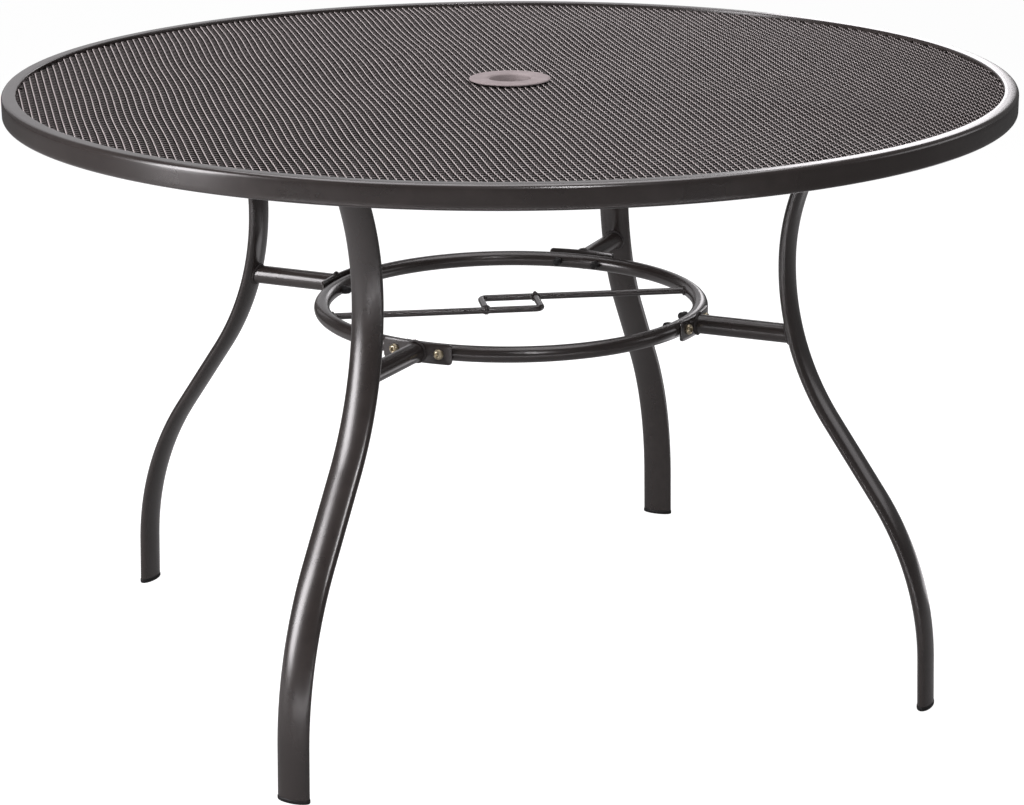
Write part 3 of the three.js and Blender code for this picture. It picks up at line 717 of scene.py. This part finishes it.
# ------------------------------------------------------------------ legs
MID_TOP_Z = KNEE_Z - MIDDLE_BEND * math.sin(SLOPE)
MID_TOP_R = KNEE_R + MIDDLE_BEND * (1 - math.cos(SLOPE))
LOW_DZ = LOWER_BEND * (math.sin(SLOPE) - math.sin(LEAN))
LOW_DR = LOWER_BEND * (math.cos(LEAN) - math.cos(SLOPE))
STRAIGHT = (MID_TOP_Z - FOOT_STRAIGHT - LOW_DZ) / math.cos(SLOPE)
FOOT_R = MID_TOP_R + STRAIGHT * math.sin(SLOPE) + LOW_DR + FOOT_STRAIGHT * math.tan(LEAN)
LEG_BOTTOM = FOOT_CAP_H + GAP
FOOT_CENTRE = FOOT_R - LEG_BOTTOM * math.tan(LEAN)


def leg_stations():
    """(x, z, heading angle from vertical towards the axis) along the leg from the floor up."""
    out = []
    below = 12.0
    x, z = FOOT_R + below * math.tan(LEAN), -below
    n0 = 4
    top_x, top_z = FOOT_R - FOOT_STRAIGHT * math.tan(LEAN), FOOT_STRAIGHT
    for i in range(n0):
        f = i / n0
        out.append((x + (top_x - x) * f, z + (top_z - z) * f, LEAN))
    # lower bend: heading leans from LEAN to SLOPE towards the axis
    n1 = 44
    for i in range(n1):
        a = LEAN + (SLOPE - LEAN) * i / n1
        out.append((top_x - LOWER_BEND * (math.cos(LEAN) - math.cos(a)), top_z + LOWER_BEND * (math.sin(a) - math.sin(LEAN)), a))
    x1, z1 = top_x - LOW_DR, top_z + LOW_DZ
    n2 = 6
    for i in range(n2):
        f = i / n2 * STRAIGHT
        out.append((x1 - f * math.sin(SLOPE), z1 + f * math.cos(SLOPE), SLOPE))
    n3 = 44
    for i in range(n3):
        a = SLOPE * (1 - i / n3)
        out.append((KNEE_R + MIDDLE_BEND * (1 - math.cos(a)), KNEE_Z - MIDDLE_BEND * math.sin(a), a))
    n4 = 60
    top_turn = math.asin(min(1.0, (LEG_HIGH + 14 - KNEE_Z) / UPPER_BEND))
    for i in range(n4 + 1):
        a = top_turn * i / n4
        out.append((KNEE_R + UPPER_BEND * (1 - math.cos(a)), KNEE_Z + UPPER_BEND * math.sin(a), -a))
    return out


def leg(corner, degrees):
    stations = []
    for x, z, a in leg_stations():
        stations.append(((x, 0, z), (0, 1, 0), (math.cos(a), 0, math.sin(a))))
    v, f = sweep(stations, oval(LEG_A, LEG_B, 44))
    v, f = plane_cut(v, f, [((0, 0, LEG_BOTTOM), (0, 0, -1)), ((0, 0, LEG_HIGH), (0, 0, 1))])
    s = Shape().add(v, f)
    piece(f"leg_tube_{corner}", s, COAT, stands_for=[f"leg_{corner}"], degrees=degrees, sharp=40)


def foot(corner, degrees):
    a, b = LEG_A + 0.6, LEG_B + 0.6
    rings = [(-2.6, 0.0), (-1.4, 0.0), (-0.5, 0.35), (-0.05, 1.1), (0.0, 2.0), (0.0, 3.6), (-0.15, 4.5), (-0.6, 5.0), (-2.6, 5.0)]
    verts, faces, n = [], [], 44
    for d, z in rings:
        verts += [(FOOT_CENTRE + x, y, z) for y, x in oval(a + d, b + d, n)]
    for k in range(len(rings) - 1):
        for i in range(n):
            j = (i + 1) % n
            faces.append((k * n + i, k * n + j, (k + 1) * n + j, (k + 1) * n + i))
    faces.append(tuple(range(n)))
    faces.append(tuple((len(rings) - 1) * n + i for i in range(n)))
    s = Shape().add(verts, faces)
    piece(f"foot_{corner}", s, BLACK, stands_for=[f"foot_cap_{corner}"], degrees=degrees, sharp=40)


# ------------------------------------------------------------------ braces, brackets, their bolts
def leg_face(y, z):
    """x of the leg's inner face, next to the ring."""
    d = LEG_B * math.sqrt(max(0.0, 1 - (y / LEG_A) ** 2))
    q = MIDDLE_BEND + d
    return KNEE_R + MIDDLE_BEND - q * math.cos(math.asin((KNEE_Z - z) / q))


def brace(corner, degrees):
    xs = [BRACKET_OUT - 1.2, 262, 290, 320, 345, KNEE_R + 11]
    stations = [((x, 0, RING_Z), (0, 1, 0), (0, 0, 1)) for x in xs]
    s = Shape().add(*sweep(stations, circle(BRACE_R, 36)))
    piece(f"brace_tube_{corner}", s, COAT, stands_for=[f"brace_{corner}"], degrees=degrees, sharp=40)


def bracket(corner, degrees):
    n, rows, c = 40, 6, 4.0
    half_l = BRACKET_OUT * BRACKET_HALF
    us = [-half_l + c * (1 - math.cos(math.pi / 2 * i / 5)) for i in range(6)]
    us += list(np.linspace(-half_l + c, half_l - c, 26)[1:-1])
    us += [half_l - c * (1 - math.cos(math.pi / 2 * i / 5)) for i in range(5, -1, -1)]
    m = len(us)
    verts = []
    for radius in (BRACKET_OUT, BRACKET_IN):
        for u in us:
            over = max(0.0, abs(u) - (half_l - c))
            h = BRACKET_H / 2 - c + math.sqrt(max(0.0, c * c - over * over))
            a = u / BRACKET_OUT
            for k in range(rows + 1):
                z = RING_Z - h + 2 * h * k / rows
                verts.append((radius * math.cos(a), radius * math.sin(a), z))
    R = rows + 1
    at = lambda side, i, k: side * m * R + i * R + k
    faces = []
    for i in range(m - 1):
        for k in range(rows):
            faces.append((at(0, i, k), at(0, i + 1, k), at(0, i + 1, k + 1), at(0, i, k + 1)))
            faces.append((at(1, i, k), at(1, i, k + 1), at(1, i + 1, k + 1), at(1, i + 1, k)))
        faces.append((at(0, i, 0), at(1, i, 0), at(1, i + 1, 0), at(0, i + 1, 0)))
        faces.append((at(0, i, rows), at(0, i + 1, rows), at(1, i + 1, rows), at(1, i, rows)))
    for k in range(rows):
        faces.append((at(0, 0, k), at(0, 0, k + 1), at(1, 0, k + 1), at(1, 0, k)))
        faces.append((at(0, m - 1, k), at(1, m - 1, k), at(1, m - 1, k + 1), at(0, m - 1, k + 1)))
    s = Shape().add(verts, faces)
    piece(f"bracket_plate_{corner}", s, COAT, stands_for=[f"ring_bracket_{corner}"], degrees=degrees, sharp=50, bevel=0.45, bevel_angle=60)


AXIS_OUT = Matrix.Rotation(math.radians(90), 4, "Y")  # local +Z becomes +X


def ring_bolt(corner, degrees, which, turn):
    seat = BRACKET_OUT + 0.1
    outer = [(0.0, 1.7), (1.2, 1.7), (2.4, 1.75), (2.45, 2.4), (2.5, 4.2), (3.0, 4.45), (3.8, 4.25), (4.9, 3.5), (5.8, 2.35), (6.22, 1.25), (6.3, 0.65), (6.15, 0.12), (5.9, 0.0), (0.0, 0.0)]

    def socket(r, z, t):
        if r <= 2.51 and z > 1.6 and r > 0.5:
            k = (t + math.pi / 6) % (math.pi / 3) - math.pi / 6
            return r * (0.93 / math.cos(k)) - r
        return 0.0

    v, f = lathe(outer, 36, closed=False, radius=socket)
    s = Shape()
    s.add(v, f, Matrix.Translation((seat, 0, RING_Z)) @ AXIS_OUT @ turn_z(13 if which == "a" else 37))
    shank = [(0, -(seat - (RING_R - RING_TUBE) + 5)), (3.0, -(seat - (RING_R - RING_TUBE) + 5)), (3.0, 0.2), (0, 0.2)]
    v, f = lathe(shank, 20, closed=False)
    s.add(v, f, Matrix.Translation((seat, 0, RING_Z)) @ AXIS_OUT)
    piece(f"bolt_{which}_{corner}", s, ZINC, stands_for=[f"ring_bolt_{which}_{corner}"], degrees=degrees + turn, sharp=32)


def cap_nut(corner, degrees, which, turn):
    at = RING_R - RING_TUBE - 0.2
    # along the axis away from the ring: hexagon with chamfered corners, then the dome
    hexed = [(0.0, 0.0), (4.6, 0.0), (5.0, 0.1), (5.77, 0.7), (5.77, 4.9), (5.1, 5.5), (4.9, 5.6), (0.0, 5.6)]
    dome = [(0.0, 5.2), (4.7, 5.2), (4.7, 6.6), (4.6, 7.6), (4.2, 8.9), (3.5, 9.9), (2.5, 10.7), (1.3, 11.2), (0.0, 11.4)]
    m = Matrix.Translation((at, 0, RING_Z)) @ Matrix.Rotation(math.radians(-90), 4, "Y")
    s = Shape()
    v, f = hex_lathe(hexed, 10.0)
    s.add(v, f, m @ turn_z(21 if which == "a" else 48))
    v, f = lathe(dome, 32, closed=False)
    s.add(v, f, m)
    piece(f"nut_{which}_{corner}", s, BLACK, stands_for=[f"cap_nut_{which}_{corner}"], degrees=degrees + turn, sharp=32)


def corner_welds(corner, degrees):
    s = Shape()
    # brace to leg
    loop = []
    for i in range(72):
        t = 2 * math.pi * i / 72
        y, z = (BRACE_R + 0.5) * math.cos(t), (BRACE_R + 0.5) * math.sin(t)
        loop.append((leg_face(y, RING_Z + z) - 0.3, y, RING_Z + z))
    s.add(*bead(resample(loop, 0.7), 1.7, pitch=2.6))
    # brace to bracket, with a small lump where the run starts at the top
    loop = []
    for i in range(72):
        t = 2 * math.pi * i / 72
        grow = 0.5 + 1.2 * max(0.0, math.sin(t)) ** 10
        y, z = (BRACE_R + grow) * math.cos(t), (BRACE_R + grow) * math.sin(t)
        loop.append((math.sqrt(BRACKET_OUT**2 - y * y) + 0.2, y, RING_Z + z))
    s.add(*bead(resample(loop, 0.7), 1.6, pitch=2.4, ripple=0.2))
    # leg to plate
    loop = []
    for i in range(96):
        t = 2 * math.pi * i / 96
        y, d = (LEG_A + 0.3) * math.cos(t), (LEG_B + 0.3) * math.sin(t)
        q = UPPER_BEND + d
        a = math.asin((LEG_HIGH - 0.3 - KNEE_Z) / q)
        loop.append((KNEE_R + UPPER_BEND - q * math.cos(a), y, LEG_HIGH - 0.2))
    s.add(*bead(resample(loop, 0.9), 1.8, pitch=2.8))
    # plate to bar: two short runs on each side
    for side in (-1, 1):
        for x0, x1 in ((PLATE_MID - 44, PLATE_MID - 22), (PLATE_MID + 22, PLATE_MID + 44)):
            s.add(*bead([(x0 + (x1 - x0) * i / 24, side * (BAR_W / 2 + 0.2), HUB_LOW - 0.1) for i in range(25)], 1.4, closed=False))
    # bar to hub and to rim, up both sides and along the bottom
    for x, bend in ((HUB_R + 0.2, 1), (RIM_IN - 0.6, -1)):
        run = [(0, HUB_HIGH - 1.0, -1), (0, HUB_LOW + 2.0, -1)]
        pts = []
        for i in range(9):
            pts.append((-BAR_W / 2 - 0.3, HUB_HIGH - 1.5 - (BAR_H - 3.5) * i / 8))
        pts += [(-BAR_W / 2 + 1.2, HUB_LOW - 0.1)]
        for i in range(1, 10):
            pts.append((-BAR_W / 2 + 1.2 + (BAR_W - 2.4) * i / 9, HUB_LOW - 0.3))
        pts += [(BAR_W / 2 + 0.3, HUB_LOW + 2.0)]
        for i in range(1, 9):
            pts.append((BAR_W / 2 + 0.3, HUB_LOW + 2.0 + (BAR_H - 3.5) * i / 8))
        line = []
        for y, z in pts:
            if bend > 0:
                xx = math.sqrt(max(0.0, (HUB_R + 0.3) ** 2 - y * y))
            else:
                xx = math.sqrt((RIM_IN - 0.4) ** 2 - y * y)
            line.append((xx, y, z))
        s.add(*bead(resample(line, 0.9, closed=False), 1.6, closed=False, pitch=2.6))
    piece(f"welds_{corner}", s, WELD, degrees=degrees, sharp=60, merge=False)


hub()
for name, deg in CORNERS.items():
    bar(name, deg)
    plate(name, deg)
    leg_bolt(name, deg, "inner", LEG_BOLTS["inner"])
    leg_bolt(name, deg, "outer", LEG_BOLTS["outer"])
    leg(name, deg)
    foot(name, deg)
    brace(name, deg)
    bracket(name, deg)
    for which, turn in (("a", -BOLT_DEG), ("b", BOLT_DEG)):
        ring_bolt(name, deg, which, turn)
        cap_nut(name, deg, which, turn)
    corner_welds(name, deg)


# ------------------------------------------------------------------ stabiliser ring and keeper rods
def ring():
    n = 160
    stations = []
    for i in range(n):
        t = 2 * math.pi * i / n
        c, s_ = math.cos(t), math.sin(t)
        # the butt weld of the rolled tube stands a little proud, next to the left bracket's back bolt
        off = abs((math.degrees(t) - 118.0 + 180) % 360 - 180) * math.pi / 180 * RING_R
        grow = 1.0 + 0.045 * math.exp(-((off / 2.6) ** 2))
        stations.append(((RING_R * c, RING_R * s_, RING_Z), (c * grow, s_ * grow, 0), (0, 0, grow)))
    s = Shape().add(*sweep(stations, circle(RING_TUBE, 24), closed=True))
    piece("ring_tube", s, COAT, stands_for=["stabiliser_ring"], sharp=60)


def keeper(name, degrees, node):
    z = RING_Z
    start = -math.sqrt((RING_R - RING_TUBE) ** 2 - KEEPER_W**2) - 0.8
    pts = [(start, -KEEPER_W)] + [(x, -KEEPER_W) for x in np.linspace(start + 12, KEEPER_L - KEEPER_BEND - 8, 14)]
    pts += arc(KEEPER_L - KEEPER_BEND, -KEEPER_W + KEEPER_BEND, KEEPER_BEND, -90, 0, 12)
    # the short leg runs into the other rod
    pts += [(KEEPER_L, y) for y in np.linspace(-KEEPER_W + KEEPER_BEND + 6, KEEPER_W - 2.0, 8)]
    dirs = []
    for i in range(len(pts)):
        a, b = pts[max(0, i - 1)], pts[min(len(pts) - 1, i + 1)]
        dirs.append(Vector((b[0] - a[0], b[1] - a[1], 0)).normalized())
    stations = []
    for (x, y), d in zip(pts, dirs):
        stations.append(((x, y, z), Vector((0, 0, 1)).cross(d), (0, 0, 1)))
    s = Shape().add(*sweep(stations, circle(KEEPER_R, 24)))
    piece(f"rod_{name}", s, COAT, stands_for=[node], degrees=degrees, sharp=50)
    w = Shape()
    # where the rod meets the ring
    loop = []
    for i in range(40):
        t = 2 * math.pi * i / 40
        y, zz = -KEEPER_W + (KEEPER_R + 0.4) * math.cos(t), z + (KEEPER_R + 0.4) * math.sin(t)
        inner = RING_R - math.sqrt(max(0.0, RING_TUBE**2 - (zz - RING_Z) ** 2)) - 0.2
        loop.append((-math.sqrt(max(0.0, inner**2 - y * y)), y, zz))
    w.add(*bead(resample(loop, 0.6), 1.5, pitch=2.2, ripple=0.18))
    # where the short leg meets the other rod: a bead round it, and a lump over the top
    loop = []
    for i in range(36):
        t = 2 * math.pi * i / 36
        x, zz = KEEPER_L + (KEEPER_R + 0.5) * math.cos(t), (KEEPER_R + 0.5) * math.sin(t)
        loop.append((x, KEEPER_W - math.sqrt(max(0.0, (KEEPER_R + 0.6) ** 2 - zz * zz)) - 0.1, z + zz))
    w.add(*bead(resample(loop, 0.6), 1.35, pitch=2.0, ripple=0.2))
    over = []
    for i in range(17):
        t = math.radians(158 - 150 * i / 16)
        over.append((KEEPER_L + 0.5 * math.sin(3 * t), KEEPER_W + (KEEPER_R + 0.5) * math.cos(t), z + (KEEPER_R + 0.4) * math.sin(t)))
    w.add(*bead(over, 2.1, closed=False, pitch=2.2, ripple=0.16))
    piece(f"rod_welds_{name}", w, WELD, degrees=degrees, sharp=60, merge=False)


ring()
keeper("front", KEEPER_TURN, "keeper_rod_front")
keeper("back", KEEPER_TURN + 180, "keeper_rod_back")


# ------------------------------------------------------------------ stage
VIEW_TURN = -20.23  # the camera stands this far round from the -Y side


def in_view(x, y, z):
    """A point given with X to the picture's right and Y away from the camera."""
    a = math.radians(VIEW_TURN)
    return Vector((x * math.cos(a) - y * math.sin(a), x * math.sin(a) + y * math.cos(a), z))


def floor():
    me = bpy.data.meshes.new("floor")
    n, half = 24, 14.0
    verts = [(-half + 2 * half * i / n, -half + 2 * half * j / n, -0.0004) for j in range(n + 1) for i in range(n + 1)]
    faces = [(j * (n + 1) + i, j * (n + 1) + i + 1, (j + 1) * (n + 1) + i + 1, (j + 1) * (n + 1) + i) for j in range(n) for i in range(n)]
    me.from_pydata(verts, [], faces)
    m, nodes, links, bsdf = material("floor_paper")
    coord = nodes.new("ShaderNodeTexCoord").outputs["Object"]
    grain = noise_node(nodes, links, coord, 2.0, 3.0, 0.5)
    tone = ramp_node(nodes, links, grain.outputs["Fac"], [(0.3, (0.47, 0.47, 0.47, 1)), (0.7, (0.51, 0.51, 0.51, 1))])
    across = nodes.new("ShaderNodeVectorMath")
    across.operation = "DOT_PRODUCT"
    across.inputs[1].default_value = tuple(in_view(1, 0, 0))
    links.new(coord, across.inputs[0])
    away = nodes.new("ShaderNodeVectorMath")
    away.operation = "DOT_PRODUCT"
    away.inputs[1].default_value = tuple(in_view(0, 1, 0))
    links.new(coord, away.inputs[0])
    # painted shade: the floor's colour darkens towards the picture's right and far behind the table, standing in for
    # light falling off there
    sideways = map_node(nodes, links, across.outputs["Value"], -1.3, 1.1, 0.9, 0.5)
    backward = map_node(nodes, links, away.outputs["Value"], 1.7, 2.9, 1.0, 0.2)
    floor_with_painted_shade = mix_node(nodes, links, sideways, (0.0, 0.0, 0.0, 1), tone.outputs["Color"])
    links.new(mix_node(nodes, links, backward, (0.0, 0.0, 0.0, 1), floor_with_painted_shade), bsdf.inputs["Base Color"])
    bsdf.inputs["Roughness"].default_value = 0.9
    bsdf.inputs["Specular IOR Level"].default_value = 0.1
    bsdf.inputs["Emission Color"].default_value = (1, 1, 1, 1)
    seen = nodes.new("ShaderNodeLightPath").outputs["Is Camera Ray"]
    links.new(map_node(nodes, links, seen, 0.0, 1.0, 0.06, 0.97), bsdf.inputs["Emission Strength"])
    me.materials.append(m)
    ob = bpy.data.objects.new("floor", me)
    bpy.context.scene.collection.objects.link(ob)


def area(name, at, aim, wide, high, power, colour=(1.0, 0.968, 0.992), spread=180.0):
    d = bpy.data.lights.new(name, "AREA")
    d.shape = "RECTANGLE"
    d.size, d.size_y = wide, high
    d.energy = power
    d.color = colour
    d.spread = math.radians(spread)
    ob = bpy.data.objects.new(name, d)
    bpy.context.scene.collection.objects.link(ob)
    at, aim = in_view(*at), in_view(*aim)
    ob.location = at
    ob.rotation_mode = "QUATERNION"
    ob.rotation_quaternion = (aim - at).to_track_quat("-Z", "Y")
    ob.visible_camera = False
    return ob


floor()
# power = radiance * pi * area, so each softbox is given by its brightness
def softbox(name, at, aim, wide, high, brightness, **more):
    return area(name, at, aim, wide, high, brightness * math.pi * wide * high, **more)


softbox("overhead", (0.0, 0.4, 3.0), (0, 0, 0), 2.6, 2.6, 2.9)
softbox("backdrop", (-0.4, 3.8, 1.7), (0, 0, 0.9), 4.6, 2.2, 0.45)
softbox("back_right", (0.85, 3.0, 1.5), (0.1, 0, 0.7), 0.55, 1.2, 2.4)
softbox("key_left", (-2.5, -1.1, 1.22), (-0.24, -0.48, 0.5), 0.8, 1.75, 12.0)
softbox("strip_high", (0.50, -2.18, 1.96), (-0.24, -0.48, 0.35), 0.12, 1.0, 40.0)
softbox("strip_low", (0.0, -1.75, 0.03), (0, 0, 0.45), 3.4, 0.05, 8.0)
softbox("fill_right", (2.3, 0.2, 1.2), (0, 0, 0.3), 1.4, 0.6, 1.2)
softbox("floor_glow", (0.85, 0.45, 0.02), (0.85, 0.45, 1.0), 0.8, 0.5, 1.1)

world = bpy.data.worlds.new("studio")
bpy.context.scene.world = world
world.use_nodes = True
wn, wl = world.node_tree.nodes, world.node_tree.links
for node in list(wn):
    wn.remove(node)
out = wn.new("ShaderNodeOutputWorld")
dim = wn.new("ShaderNodeBackground")
dim.inputs["Color"].default_value = (0.96, 0.98, 1.0, 1)
dim.inputs["Strength"].default_value = 0.12
seen = wn.new("ShaderNodeBackground")
seen.inputs["Color"].default_value = (1, 1, 1, 1)
seen.inputs["Strength"].default_value = 1.0
path = wn.new("ShaderNodeLightPath")
mix = wn.new("ShaderNodeMixShader")
wl.new(path.outputs["Is Camera Ray"], mix.inputs["Fac"])
wl.new(dim.outputs["Background"], mix.inputs[1])
wl.new(seen.outputs["Background"], mix.inputs[2])
wl.new(mix.outputs["Shader"], out.inputs["Surface"])

# ------------------------------------------------------------------ camera
FOCAL_PX, ROLL, YAW, PITCH = 2856.55, -0.28, 0.01, 16.72
STANDS = Vector((0.0, -3.3806, 1.3298))
cam_data = bpy.data.cameras.new("camera")
cam_data.sensor_width = 36.0
cam_data.lens = FOCAL_PX * 36.0 / 1024.0
cam_data.clip_start, cam_data.clip_end = 0.05, 100.0
cam = bpy.data.objects.new("camera", cam_data)
bpy.context.scene.collection.objects.link(cam)
yaw, pitch, roll = math.radians(YAW), math.radians(PITCH), math.radians(ROLL)
fwd = Vector((math.sin(yaw) * math.cos(pitch), math.cos(yaw) * math.cos(pitch), -math.sin(pitch)))
right = Vector((math.cos(yaw), -math.sin(yaw), 0.0))
up = right.cross(fwd)
ax = right * math.cos(roll) + up * math.sin(roll)
ay = -right * math.sin(roll) + up * math.cos(roll)
basis = Matrix((ax, ay, -fwd)).transposed().to_4x4()
cam.matrix_world = turn_z(VIEW_TURN) @ Matrix.Translation(STANDS) @ basis
bpy.context.scene.camera = cam

bpy.context.scene.view_settings.view_transform = "Standard"
bpy.context.scene.view_settings.look = "None"
